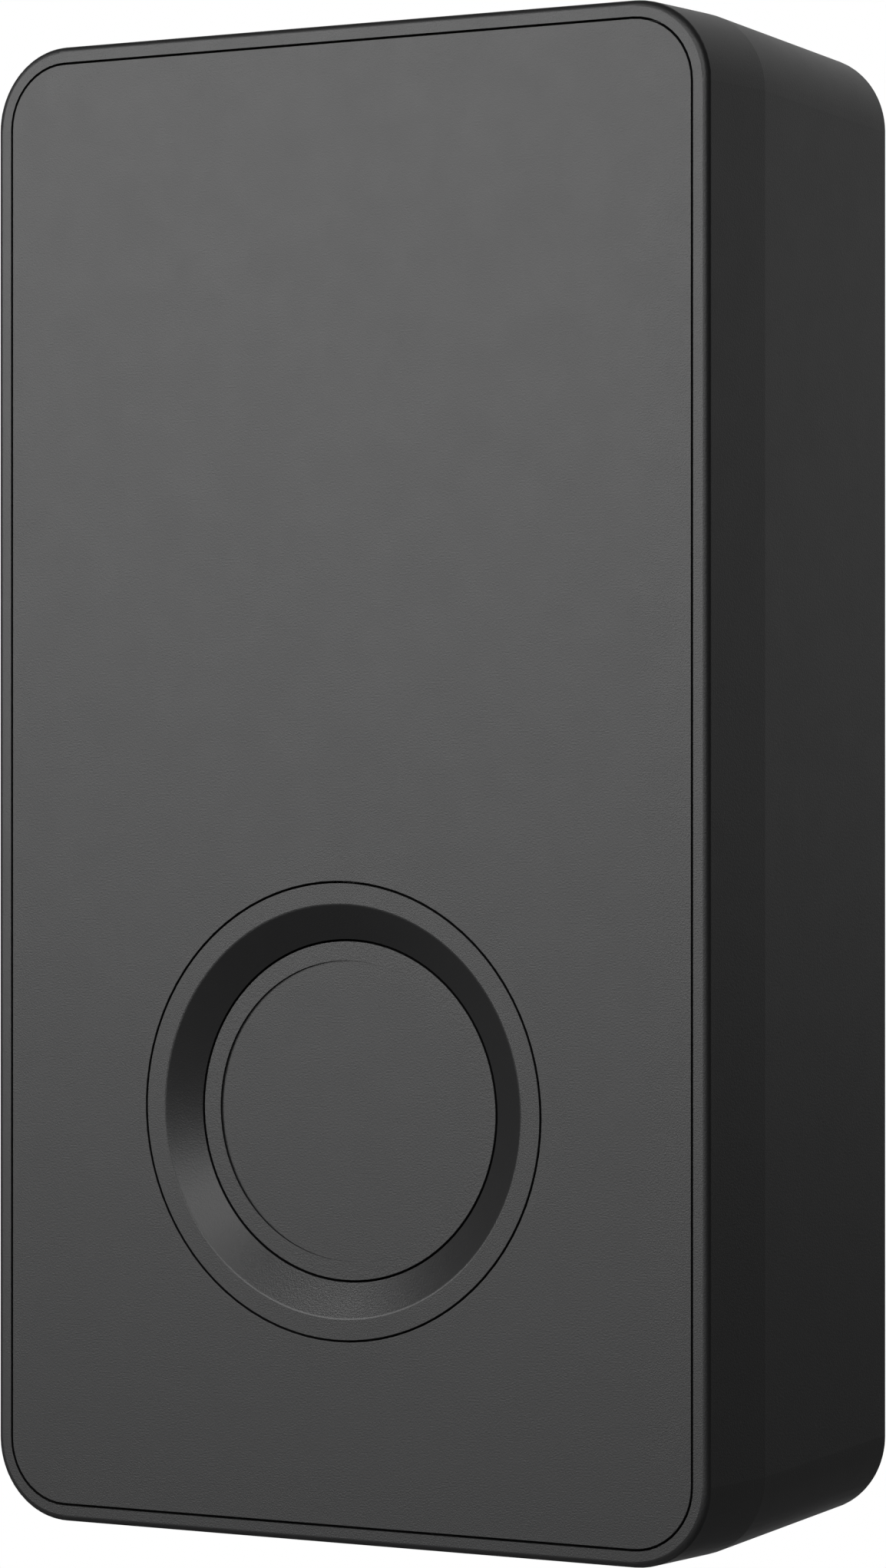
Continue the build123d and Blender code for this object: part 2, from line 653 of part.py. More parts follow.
shield_back = radio_back + SHIELD_REACH
with BuildPart() as radio_shield:
    block(SHIELD_W, SHIELD_H, SHIELD_EDGE_R, radio_back, shield_back, points=[SHIELD_POINT])
    block(
        SHIELD_W - 2 * SHIELD_SHEET,
        SHIELD_H - 2 * SHIELD_SHEET,
        SHIELD_EDGE_R - SHIELD_SHEET,
        radio_back,
        shield_back - SHIELD_SHEET,
        points=[SHIELD_POINT],
        mode=Mode.SUBTRACT,
    )
radio_shield.part.label = "radio_shield"
export_step(radio_shield.part, "parts/radio_shield.step")

antenna_depth = BOARD_BACK + ANTENNA_R + ANTENNA_WIRE_R
antenna_start = (ANTENNA_X, antenna_depth - DEPTH, ANTENNA_Z)
with BuildPart() as antenna_coil:
    add(coil(ANTENNA_R, ANTENNA_WIRE_R, ANTENNA_TURNS, ANTENNA_LENGTH, antenna_start, (1, 0, 0)))
antenna_coil.part.label = "antenna_coil"
export_step(antenna_coil.part, "parts/antenna_coil.step")

with BuildPart() as board_chips:
    for chip_w, chip_h, chip_t, chip_r, places in CHIPS:
        block(chip_w, chip_h, chip_r, BOARD_BACK, BOARD_BACK + chip_t, points=places)
board_chips.part.label = "board_chips"
export_step(board_chips.part, "parts/board_chips.step")

capacitor_foot = BOARD_BACK + CAPACITOR_BASE_T
with BuildPart() as capacitor:
    block(
        CAPACITOR_BASE,
        CAPACITOR_BASE,
        CAPACITOR_BASE_R,
        BOARD_BACK,
        capacitor_foot,
        points=[CAPACITOR_POINT],
    )
    posts([CAPACITOR_POINT], CAPACITOR_R, capacitor_foot, BOARD_BACK + CAPACITOR_REACH)
    fillet(capacitor.edges().group_by(Axis.Y)[-1], radius=CAPACITOR_EDGE_R)
capacitor.part.label = "capacitor"
export_step(capacitor.part, "parts/capacitor.step")

# Push switch on the front of the board
switch_well = BOARD_FRONT - SWITCH_WELL_FLOOR
with BuildPart() as switch_body:
    block(SWITCH_SIZE, SWITCH_SIZE, SWITCH_EDGE_R, SWITCH_FRONT, BOARD_FRONT, points=BUTTON_POINT)
    posts(BUTTON_POINT, PLUNGER_R + PLUNGER_PLAY, SWITCH_FRONT, switch_well, mode=Mode.SUBTRACT)
    block(
        SWITCH_SIZE + 2 * SWITCH_PIN_REACH,
        SWITCH_PIN_W,
        SWITCH_PIN_W / 8,
        BOARD_FRONT - SWITCH_PIN_T,
        BOARD_FRONT,
        points=[(0, BUTTON_Z - SWITCH_PIN_Z), (0, BUTTON_Z + SWITCH_PIN_Z)],
    )
switch_body.part.label = "switch_body"
export_step(switch_body.part, "parts/switch_body.step")

with BuildPart() as switch_plunger:
    posts(BUTTON_POINT, PLUNGER_R, PLUNGER_FRONT, PLUNGER_BACK)
    fillet(switch_plunger.edges().group_by(Axis.Y)[0], radius=PLUNGER_EDGE_R)
switch_plunger.part.label = "switch_plunger"
export_step(switch_plunger.part, "parts/switch_plunger.step")

seat_floor = SEAT_FRONT + SEAT_GROOVE
seat_room = SPRING_WIRE_R + SHANK_PLAY
with BuildPart() as spring_seat:
    turned(
        [
            (BOARD_FRONT, SPRING_R - SEAT_INSIDE),
            (SEAT_FRONT, SPRING_R - SEAT_INSIDE),
            (SEAT_FRONT, SPRING_R - seat_room),
            (seat_floor, SPRING_R - seat_room),
            (seat_floor, SPRING_R + seat_room),
            (SEAT_FRONT, SPRING_R + seat_room),
            (SEAT_FRONT, SPRING_R + SEAT_OUTSIDE),
            (BOARD_FRONT, SPRING_R + SEAT_OUTSIDE),
        ]
    )
spring_seat.part.label = "spring_seat"
export_step(spring_seat.part, "parts/spring_seat.step")

spring_start = CAP_CROWN_BACK + SPRING_WIRE_R + TOUCH_PLAY
spring_end = seat_floor - SPRING_WIRE_R - TOUCH_PLAY
with BuildPart() as return_spring:
    spring_base = (0, spring_start - DEPTH, BUTTON_Z)
    add(coil(SPRING_R, SPRING_WIRE_R, SPRING_TURNS, spring_end - spring_start, spring_base, (0, 1, 0)))
return_spring.part.label = "return_spring"
export_step(return_spring.part, "parts/return_spring.step")

# Ring: a flat land flush with the face plate, a dish down to the button and a sleeve through the deck
with BuildPart() as button_ring:
    turned(
        [
            (0, RING_R),
            (0, DISH_R),
            (CAP_FACE, BORE_R),
            (SLEEVE_END, BORE_R),
            (SLEEVE_END, SLEEVE_R),
            (RING_FLANGE_BACK, SLEEVE_R),
            (RING_FLANGE_BACK, RING_R),
        ]
    )
    front_circles = button_ring.edges().filter_by(GeomType.CIRCLE).group_by(Axis.Y)[0]
    fillet(front_circles.sort_by(SortBy.RADIUS)[0], radius=DISH_EDGE_R)
    front_circles = button_ring.edges().filter_by(GeomType.CIRCLE).group_by(Axis.Y)[0]
    fillet(front_circles.sort_by(SortBy.RADIUS)[-1], radius=PLATE_EDGE_R)
button_ring.part.label = "button_ring"
export_step(button_ring.part, "parts/button_ring.step")

with BuildPart() as ring_gasket:
    turned(
        [
            (RING_FLANGE_BACK, SLEEVE_R + SEAM),
            (DECK_FRONT, SLEEVE_R + SEAM),
            (DECK_FRONT, RING_R - SEAM),
            (RING_FLANGE_BACK, RING_R - SEAM),
        ]
    )
ring_gasket.part.label = "ring_gasket"
export_step(ring_gasket.part, "parts/ring_gasket.step")

with BuildPart() as ring_nut:
    turned(
        [
            (DECK_BACK, SLEEVE_R + THREAD_PLAY),
            (NUT_END, SLEEVE_R + THREAD_PLAY),
            (NUT_END, NUT_R),
            (DECK_BACK, NUT_R),
        ]
    )
    with BuildSketch(at_depth(DECK_BACK)):
        with Locations((0, BUTTON_Z)):
            with PolarLocations(NUT_R, NUT_NOTCHES):
                Rectangle(2 * NUT_NOTCH_DEPTH, NUT_NOTCH_W)
    extrude(amount=DECK_BACK - NUT_END, mode=Mode.SUBTRACT)
ring_nut.part.label = "ring_nut"
export_step(ring_nut.part, "parts/ring_nut.step")

# Cap: a shallow finger recess, a skirt that slides in the ring, a flange that stops it and a stem
with BuildPart() as button_cap:
    turned(
        [
            (CAP_FACE, CAP_R),
            (CAP_FACE, CAP_RECESS_R),
            (CAP_FACE + CAP_RECESS, CAP_RECESS_R),
            (CAP_FACE + CAP_RECESS, 0),
            (STEM_END, 0),
            (STEM_END, STEM_R),
            (CAP_CROWN_BACK, STEM_R),
            (CAP_CROWN_BACK, CAP_SKIRT_R),
            (CAP_BACK, CAP_SKIRT_R),
            (CAP_BACK, CAP_FLANGE_R),
            (CAP_FLANGE_FRONT, CAP_FLANGE_R),
            (CAP_FLANGE_FRONT, CAP_R),
            (SEAL_GROOVE_BACK, CAP_R),
            (SEAL_GROOVE_BACK, SEAL_GROOVE_R),
            (SEAL_GROOVE_FRONT, SEAL_GROOVE_R),
            (SEAL_GROOVE_FRONT, CAP_R),
        ]
    )
    face_circles = button_cap.edges().filter_by(GeomType.CIRCLE).group_by(Axis.Y)[0]
    fillet(face_circles.sort_by(SortBy.RADIUS)[-1], radius=CAP_EDGE_R)
button_cap.part.label = "button_cap"
export_step(button_cap.part, "parts/button_cap.step")

seal_depth = (SEAL_GROOVE_FRONT + SEAL_GROOVE_BACK) / 2
with BuildPart() as cap_seal:
    with Locations(Plane(origin=(0, seal_depth - DEPTH, BUTTON_Z), z_dir=(0, 1, 0))):
        Torus(SEAL_GROOVE_R + SEAL_WIRE_R, SEAL_WIRE_R)
cap_seal.part.label = "cap_seal"
export_step(cap_seal.part, "parts/cap_seal.step")

# Face plate: flush with the rim, with pegs at the back and a groove for its seal
seal_w = TRAY_W + 2 * PLATE_SEAL_GAP
seal_h = TRAY_H + 2 * PLATE_SEAL_GAP
seal_inner = (seal_w, seal_h, TRAY_WALL)
seal_outer = (seal_w + 2 * PLATE_SEAL_W, seal_h + 2 * PLATE_SEAL_W, TRAY_WALL + PLATE_SEAL_W)
with BuildPart() as face_plate:
    block(PLATE_W, PLATE_H, PLATE_R, 0, PLATE_T)
    posts(BUTTON_POINT, RING_SEAM_R + RING_SEAM / 2, 0, PLATE_T, mode=Mode.SUBTRACT)
    fillet(face_plate.edges().group_by(Axis.Y)[0], radius=PLATE_EDGE_R)
    frame(seal_outer, seal_inner, PLATE_SEAL_FRONT, PLATE_T, points=[(0, TRAY_Z)], mode=Mode.SUBTRACT)
    posts(PEG_POINTS, PEG_R, PLATE_T, PEG_END)
    chamfer(face_plate.edges().group_by(Axis.Y)[-1], length=PEG_R / 4)
face_plate.part.label = "face_plate"
export_step(face_plate.part, "parts/face_plate.step")

with BuildPart() as plate_seal:
    frame(seal_outer, seal_inner, PLATE_SEAL_FRONT, DECK_FRONT - TOUCH_PLAY, points=[(0, TRAY_Z)])
plate_seal.part.label = "plate_seal"
export_step(plate_seal.part, "parts/plate_seal.step")
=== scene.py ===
# %% [markdown]
# # A battery doorbell push
# The part is a bell push for a house wall: a tapered dark case, a flat face plate, and one large round
# button in a dished ring. Its solid pieces come ready made, in metres and in their right places. This
# lesson dresses them. It sets up a small studio, gives every piece its finish, and models again the few
# pieces whose look a plain solid can't give, such as the dry cells behind the plate.

# %% Load the frame
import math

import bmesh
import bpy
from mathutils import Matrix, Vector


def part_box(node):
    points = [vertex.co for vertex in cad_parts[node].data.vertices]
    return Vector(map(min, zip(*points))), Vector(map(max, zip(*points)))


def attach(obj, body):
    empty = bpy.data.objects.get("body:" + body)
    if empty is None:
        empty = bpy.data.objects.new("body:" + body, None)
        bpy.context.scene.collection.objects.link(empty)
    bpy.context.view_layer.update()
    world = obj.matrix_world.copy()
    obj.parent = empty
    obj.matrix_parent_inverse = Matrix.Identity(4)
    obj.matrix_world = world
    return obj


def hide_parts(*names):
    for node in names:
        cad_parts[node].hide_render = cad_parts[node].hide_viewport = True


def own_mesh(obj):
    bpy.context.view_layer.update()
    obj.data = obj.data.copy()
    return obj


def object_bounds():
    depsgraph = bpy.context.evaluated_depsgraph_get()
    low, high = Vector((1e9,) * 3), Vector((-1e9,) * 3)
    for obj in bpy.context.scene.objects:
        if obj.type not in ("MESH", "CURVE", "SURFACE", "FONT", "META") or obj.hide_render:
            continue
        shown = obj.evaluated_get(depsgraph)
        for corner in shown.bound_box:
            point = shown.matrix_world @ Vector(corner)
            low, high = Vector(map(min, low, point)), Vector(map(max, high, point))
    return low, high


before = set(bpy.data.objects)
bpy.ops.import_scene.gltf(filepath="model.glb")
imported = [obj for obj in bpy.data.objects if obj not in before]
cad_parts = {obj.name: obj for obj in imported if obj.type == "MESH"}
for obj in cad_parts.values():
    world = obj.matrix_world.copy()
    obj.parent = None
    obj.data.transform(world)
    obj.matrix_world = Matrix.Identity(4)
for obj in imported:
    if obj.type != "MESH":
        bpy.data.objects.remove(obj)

# %% [markdown]
# ## The size comes first
# The solid model says how large the push is, so its box is measured before anything is added. It also
# gives the depth of the front face, which is the reference for the camera and for the places of the new
# pieces.

cad_low, cad_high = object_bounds()
FRONT = cad_low.y
scene = bpy.context.scene
print("solid model in mm:", [round(1000 * side, 2) for side in cad_high - cad_low])

# %% [markdown]
# ## The camera
# The photograph looks at the push from its right, level with its middle, through a long lens at a short
# distance. A camera could be placed by eye and nudged until the edges fit. Here it is placed by what it
# looks at: a point on the front face, a turn about the upright axis, and a distance. The sensor size is
# left at its default, and it belongs to the long side of the picture, which is its height.

# %% Place the camera
TURN = math.radians(29.94)
AIM = Vector((0.00898, FRONT, 0.0))
CAMERA_DISTANCE = 0.3956
LENS = 122.35

camera_data = bpy.data.cameras.new("camera")
camera_data.lens = LENS
camera = bpy.data.objects.new("camera", camera_data)
camera.location = AIM + CAMERA_DISTANCE * Vector((math.sin(TURN), -math.cos(TURN), 0.0))
camera.rotation_euler = (math.pi / 2, 0.0, TURN)
scene.collection.objects.link(camera)
scene.camera = camera
scene.view_settings.view_transform = "Standard"
print("camera at", [round(value, 4) for value in camera.location])

# %% [markdown]
# ## Shader nodes in one line each
# A material is a small tree of nodes, and most lines of such a script set one socket. Two short helpers
# keep that readable: one adds a node and sets its sockets by name, the other joins two nodes.

# %% Helpers for shader nodes
def add_node(tree, kind, **settings):
    """Adds one shader node. A setting is a socket's name, with _ for a blank, or a property."""
    node = tree.nodes.new("ShaderNode" + kind)
    for name, value in settings.items():
        socket = node.inputs.get(name.replace("_", " "))
        if socket is None:
            setattr(node, name, value)
        else:
            socket.default_value = value
    return node


def join(tree, source, output, target, socket):
    """Links an output of one node to a socket of another."""
    tree.links.new(source.outputs[output], target.inputs[socket])


# %% [markdown]
# ## White air, a backdrop and a pale floor
# The push stands free on pure white. White air all round would also be mirrored all round, and then dark
# plastic looks pale and flat. So the Light Path node sorts the rays: those of the camera, and those that
# went through something clear, see white, and all others see a dim grey room. A colour ramp shades that
# room by height: dark straight below and overhead, and a little lighter round the foot of its walls.

# %% Set the white background
ROOM_SHADES = [(0.1, 0.06), (0.37, 0.13), (0.5, 0.056)]
WHITE = (1.0, 1.0, 1.0, 1.0)

world = bpy.data.worlds.new("studio_air")
world.use_nodes = True
scene.world = world
tree = world.node_tree
tree.nodes.clear()
white_air = add_node(tree, "Background", Color=WHITE, Strength=1.0)
room_air = add_node(tree, "Background", Strength=1.0)
way = add_node(tree, "TexCoord")
way_parts = add_node(tree, "SeparateXYZ")
height = add_node(tree, "MapRange", From_Min=-1.0, From_Max=1.0)
shades = add_node(tree, "ValToRGB")
shades.color_ramp.elements.new(ROOM_SHADES[1][0])
for step, (spot, grey) in zip(shades.color_ramp.elements, ROOM_SHADES):
    step.position = spot
    step.color = (grey, grey, grey, 1.0)
ray_kind = add_node(tree, "LightPath")
sees_white = add_node(tree, "Math", operation="MAXIMUM")
air_mix = add_node(tree, "MixShader")
air_out = add_node(tree, "OutputWorld")
join(tree, way, "Generated", way_parts, "Vector")
join(tree, way_parts, "Z", height, "Value")
join(tree, height, "Result", shades, "Fac")
join(tree, shades, "Color", room_air, "Color")
join(tree, ray_kind, "Is Camera Ray", sees_white, 0)
join(tree, ray_kind, "Is Transmission Ray", sees_white, 1)
join(tree, sees_white, "Value", air_mix, 0)
join(tree, room_air, "Background", air_mix, 1)
join(tree, white_air, "Background", air_mix, 2)
join(tree, air_mix, "Shader", air_out, "Surface")
print("room greys from below to above:", [grey for spot, grey in ROOM_SHADES])

# %% [markdown]
# What shines should still show what it stands before. For that a backdrop stands far behind the push,
# where the side of the case, its rounded corners and its metal look into it. It is white for rays of the
# camera and for rays through clear pieces, a paler grey than the room for mirrored rays, and not there
# at all for the rest, so it gives no light either. Its mirrored grey is lighter on the left. Its foot
# hangs low there too, and then slopes up to the right, which is why it has six corners.

# %% Stand the backdrop
BACKDROP_DISTANCE = 1.8
BACKDROP_LEFT = -2.58
BACKDROP_RIGHT = 1.53
FOOT_LOW = -0.9
FOOT_LOW_END = -0.75
FOOT_HIGH_START = 0.2
FOOT_HIGH = -0.09
BACKDROP_TOP = 2.6
MIRRORED_LEFT = 0.68
MIRRORED_RIGHT = 0.457
SHADE_FROM = -0.5
SHADE_TO = 0.8

MIDDLE = (cad_low + cad_high) / 2

backdrop_mesh = bpy.data.meshes.new("backdrop")
corners = [
    (BACKDROP_LEFT, 0.0, FOOT_LOW),
    (FOOT_LOW_END, 0.0, FOOT_LOW),
    (FOOT_HIGH_START, 0.0, FOOT_HIGH),
    (BACKDROP_RIGHT, 0.0, FOOT_HIGH),
    (BACKDROP_RIGHT, 0.0, BACKDROP_TOP),
    (BACKDROP_LEFT, 0.0, BACKDROP_TOP),
]
backdrop_mesh.from_pydata(corners, [], [tuple(range(len(corners)))])
backdrop = bpy.data.objects.new("backdrop", backdrop_mesh)
backdrop.location = MIDDLE + Vector((0.0, BACKDROP_DISTANCE, 0.0))
scene.collection.objects.link(backdrop)

backdrop_finish = bpy.data.materials.new("backdrop")
backdrop_finish.use_nodes = True
tree = backdrop_finish.node_tree
tree.nodes.clear()
ray_kind = add_node(tree, "LightPath")
sees_white = add_node(tree, "Math", operation="MAXIMUM")
white_cloth = add_node(tree, "Emission", Color=WHITE, Strength=1.0)
mirrored_cloth = add_node(tree, "Emission", Color=WHITE)
place = add_node(tree, "TexCoord")
place_parts = add_node(tree, "SeparateXYZ")
shading = add_node(tree, "MapRange", From_Min=SHADE_FROM, From_Max=SHADE_TO)
shading.inputs["To Min"].default_value = MIRRORED_LEFT
shading.inputs["To Max"].default_value = MIRRORED_RIGHT
no_cloth = add_node(tree, "BsdfTransparent")
mirror_mix = add_node(tree, "MixShader")
backdrop_mix = add_node(tree, "MixShader")
backdrop_out = add_node(tree, "OutputMaterial")
join(tree, place, "Object", place_parts, "Vector")
join(tree, place_parts, "X", shading, "Value")
join(tree, shading, "Result", mirrored_cloth, "Strength")
join(tree, ray_kind, "Is Glossy Ray", mirror_mix, 0)
join(tree, no_cloth, "BSDF", mirror_mix, 1)
join(tree, mirrored_cloth, "Emission", mirror_mix, 2)
join(tree, ray_kind, "Is Camera Ray", sees_white, 0)
join(tree, ray_kind, "Is Transmission Ray", sees_white, 1)
join(tree, sees_white, "Value", backdrop_mix, 0)
join(tree, mirror_mix, "Shader", backdrop_mix, 1)
join(tree, white_cloth, "Emission", backdrop_mix, 2)
join(tree, backdrop_mix, "Shader", backdrop_out, "Surface")
backdrop_mesh.materials.append(backdrop_finish)
print("backdrop", BACKDROP_DISTANCE, "m behind the push")

# %% [markdown]
# The floor lies well below the picture, because the push hangs on a wall. It fades out at its rim, so it
# never draws a horizon. For the camera it glows a little, so that it is nearly as white as the air, and
# it is still dimmer where the push takes its light away. That is how it keeps a soft shadow.

# %% Lay the floor
FLOOR_DROP = 0.55
FLOOR_RADIUS = 0.26
FLOOR_STEPS = 96
FADE_START = 0.3
FLOOR_COLOUR = (0.82, 0.82, 0.82, 1.0)
FLOOR_GLOW = 0.8

floor_mesh = bpy.data.meshes.new("floor")
bm = bmesh.new()
bmesh.ops.create_circle(bm, cap_ends=True, segments=FLOOR_STEPS, radius=FLOOR_RADIUS)
bm.to_mesh(floor_mesh)
bm.free()
floor = bpy.data.objects.new("floor", floor_mesh)
floor.location = (0.0, MIDDLE.y, cad_low.z - FLOOR_DROP)
scene.collection.objects.link(floor)

floor_finish = bpy.data.materials.new("pale_floor")
floor_finish.use_nodes = True
tree = floor_finish.node_tree
tree.nodes.clear()
place = add_node(tree, "TexCoord")
reach = add_node(tree, "VectorMath", operation="LENGTH")
fade = add_node(tree, "MapRange", interpolation_type="SMOOTHSTEP")
fade.inputs["From Min"].default_value = FADE_START * FLOOR_RADIUS
fade.inputs["From Max"].default_value = FLOOR_RADIUS
ray_kind = add_node(tree, "LightPath")
paper = add_node(tree, "BsdfDiffuse", Color=FLOOR_COLOUR)
glow = add_node(tree, "Emission", Color=WHITE, Strength=FLOOR_GLOW)
glowing_paper = add_node(tree, "AddShader")
seen_paper = add_node(tree, "MixShader")
gone = add_node(tree, "BsdfTransparent")
floor_mix = add_node(tree, "MixShader")
floor_out = add_node(tree, "OutputMaterial")
join(tree, paper, "BSDF", glowing_paper, 0)
join(tree, glow, "Emission", glowing_paper, 1)
join(tree, ray_kind, "Is Camera Ray", seen_paper, 0)
join(tree, paper, "BSDF", seen_paper, 1)
join(tree, glowing_paper, "Shader", seen_paper, 2)
join(tree, place, "Object", reach, 0)
join(tree, reach, "Value", fade, "Value")
join(tree, fade, "Result", floor_mix, 0)
join(tree, seen_paper, "Shader", floor_mix, 1)
join(tree, gone, "BSDF", floor_mix, 2)
join(tree, floor_mix, "Shader", floor_out, "Surface")
floor_mesh.materials.append(floor_finish)
print("floor", round(1000 * FLOOR_DROP), "mm below the push")

# %% [markdown]
# ## Soft studio light
# Dark plastic has little colour of its own: what one sees is the light that it mirrors. The flat front
# mirrors a bright soft box in front on the left. From the top of the front to its foot one looks past
# more and more of that box, and that makes the fall from light to dark. A second, dimmer box hangs in
# front on the right and higher up. Only the dish round the button looks that way, and its lower left
# shines with it. A third box hangs behind, for whoever walks round to the bracket. It is left out of
# mirror images, so the case shows no sign of it in front. Each lamp is a rectangle that looks at the
# middle of the push.

# %% Hang the soft boxes
BOX_DISTANCE = 0.9


def soft_box(name, bearing, rise, size, power):
    """A rectangular lamp at a bearing, 0 in front and 90 on the right, and a rise, both in degrees."""
    data = bpy.data.lights.new(name, "AREA")
    data.shape = "RECTANGLE"
    data.size, data.size_y = size
    data.energy = power
    lamp = bpy.data.objects.new(name, data)
    turn = math.radians(bearing)
    lift = math.radians(rise)
    flat = Vector((math.sin(turn), -math.cos(turn), 0.0))
    way = math.cos(lift) * flat + math.sin(lift) * Vector((0.0, 0.0, 1.0))
    lamp.location = MIDDLE + BOX_DISTANCE * way
    lamp.rotation_euler = (-way).to_track_quat("-Z", "Y").to_euler()
    scene.collection.objects.link(lamp)
    return lamp


key_box = soft_box("key_box", bearing=-30.1, rise=14.4, size=(0.475, 0.495), power=5.64)
fill_box = soft_box("fill_box", bearing=18.4, rise=21.8, size=(0.479, 0.448), power=2.57)
back_box = soft_box("back_box", bearing=180.0, rise=25.0, size=(0.6, 0.6), power=3.0)
back_box.visible_glossy = False
for box in (key_box, fill_box, back_box):
    print(box.name, box.data.energy, "W")

# %% [markdown]
# ## Layers of a finish
# No real surface has one flat colour. Each finish below starts from the same plain shader, and then gets
# a few layers of noise: one that shifts its colour, one that makes its gloss uneven, and one that bumps
# its surface. The noise is measured in metres in the object's own space, so a grain of a tenth of a
# millimetre is that size on every piece, from any side, and needs no unwrapping. Most of a noise lies
# near its middle, so that middle is stretched where the whole span is wanted.

# %% Write the layers
NOISE_LOW = 0.3
NOISE_HIGH = 0.7
GLOSS_DETAIL = 5.0


def new_finish(name, colour, roughness, metallic=0.0):
    """A material with one plain shader, ready for its layers."""
    finish = bpy.data.materials.new(name)
    finish.use_nodes = True
    shader = finish.node_tree.nodes["Principled BSDF"]
    shader.inputs["Base Color"].default_value = (*colour, 1.0)
    shader.inputs["Roughness"].default_value = roughness
    shader.inputs["Metallic"].default_value = metallic
    return finish


def noise(tree, size, detail=3.0):
    """Noise whose lumps are about this size, in metres, in the object's own space."""
    place = add_node(tree, "TexCoord")
    lumps = add_node(tree, "TexNoise", Scale=1.0 / size, Detail=detail)
    join(tree, place, "Object", lumps, "Vector")
    return lumps


def spread(tree, lumps, low, high):
    """Stretches the middle of a noise to the span from low to high."""
    span = add_node(tree, "MapRange", From_Min=NOISE_LOW, From_Max=NOISE_HIGH, To_Min=low, To_Max=high)
    join(tree, lumps, "Fac", span, "Value")
    return span


def mottle(finish, size, change):
    """Makes the colour a little darker and lighter, by this share, in patches of this size."""
    tree = finish.node_tree
    shader = tree.nodes["Principled BSDF"]
    colour = list(shader.inputs["Base Color"].default_value)[:3]
    patches = add_node(tree, "Mix", data_type="RGBA")
    patches.inputs["A"].default_value = (*[(1.0 - change) * part for part in colour], 1.0)
    patches.inputs["B"].default_value = (*[(1.0 + change) * part for part in colour], 1.0)
    join(tree, noise(tree, size), "Fac", patches, "Factor")
    join(tree, patches, "Result", shader, "Base Color")


def uneven_gloss(finish, size, change):
    """Makes the roughness wander by this much either way, in patches of this size."""
    tree = finish.node_tree
    shader = tree.nodes["Principled BSDF"]
    middle = shader.inputs["Roughness"].default_value
    patches = spread(tree, noise(tree, size, GLOSS_DETAIL), middle - change, middle + change)
    join(tree, patches, "Result", shader, "Roughness")


def grain(finish, size, depth):
    """Bumps the surface with lumps of this size and depth, in metres."""
    tree = finish.node_tree
    bump = add_node(tree, "Bump", Strength=1.0, Distance=depth)
    join(tree, noise(tree, size), "Fac", bump, "Height")
    join(tree, bump, "Normal", tree.nodes["Principled BSDF"], "Normal")


# %% [markdown]
# ## Grained plastic
# The case, the plate, the ring and the button are moulded in one dark grey plastic, in a tool that was
# etched with a fine leather grain. Seen close, it is a carpet of tiny wrinkles about a tenth of a
# millimetre across. The grain is only microns deep, so it is a bump in the shader and not geometry. A
# wider noise makes the gloss uneven by a percent or two, as handling does.

# %% Make the grained plastic
CASE_GREY = (0.014, 0.014, 0.0143)
CASE_ROUGHNESS = 0.446
GRAIN_SIZE = 0.00012
GRAIN_DEPTH = 1.65e-5


def grained_plastic(name, roughness):
    """Dark moulded plastic with a fine etched grain, for the outside of the push."""
    finish = new_finish(name, CASE_GREY, roughness)
    mottle(finish, size=0.0012, change=0.06)
    uneven_gloss(finish, size=0.003, change=0.008)
    grain(finish, GRAIN_SIZE, GRAIN_DEPTH)
    return finish


case_plastic = grained_plastic("case_plastic", CASE_ROUGHNESS)
plate_plastic = grained_plastic("plate_plastic", CASE_ROUGHNESS)
ring_plastic = grained_plastic("ring_plastic", CASE_ROUGHNESS)
cap_plastic = grained_plastic("cap_plastic", CASE_ROUGHNESS)
print("grained plastic, grain in mm:", 1000 * GRAIN_SIZE)

# %% [markdown]
# The dish of the ring is a little smoother than the flat land round it, and its grain is fainter, because
# fingertips slide over it. So both change with the distance from the button's axis. That distance is the
# length of the way from the ring's middle, with its depth set to zero.

# %% Smooth the dish of the ring
DISH_RADIUS = 0.0156
DISH_EDGE = 0.0002
DISH_ROUGHNESS = 0.333
DISH_GRAIN = 0.7

ring_low, ring_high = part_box("button_ring")
tree = ring_plastic.node_tree
shader = tree.nodes["Principled BSDF"]
uneven = shader.inputs["Roughness"].links[0].from_node
bumps = shader.inputs["Normal"].links[0].from_node
place = add_node(tree, "TexCoord")
from_axis = add_node(tree, "VectorMath", operation="SUBTRACT")
from_axis.inputs[1].default_value = (ring_low + ring_high) / 2
sideways = add_node(tree, "VectorMath", operation="MULTIPLY")
sideways.inputs[1].default_value = (1.0, 0.0, 1.0)
reach = add_node(tree, "VectorMath", operation="LENGTH")
smoothing = add_node(tree, "MapRange", From_Min=DISH_RADIUS - DISH_EDGE, From_Max=DISH_RADIUS)
smoothing.inputs["To Min"].default_value = DISH_ROUGHNESS - CASE_ROUGHNESS
smoothing.inputs["To Max"].default_value = 0.0
wear = add_node(tree, "MapRange", From_Min=DISH_RADIUS - DISH_EDGE, From_Max=DISH_RADIUS)
wear.inputs["To Min"].default_value = DISH_GRAIN
wear.inputs["To Max"].default_value = 1.0
ring_gloss = add_node(tree, "Math", operation="ADD")
join(tree, place, "Object", from_axis, 0)
join(tree, from_axis, "Vector", sideways, 0)
join(tree, sideways, "Vector", reach, 0)
join(tree, reach, "Value", smoothing, "Value")
join(tree, uneven, "Result", ring_gloss, 0)
join(tree, smoothing, "Result", ring_gloss, 1)
join(tree, ring_gloss, "Value", shader, "Roughness")
join(tree, reach, "Value", wear, "Value")
join(tree, wear, "Result", bumps, "Strength")
print("dish smoothed inside", 1000 * DISH_RADIUS, "mm")
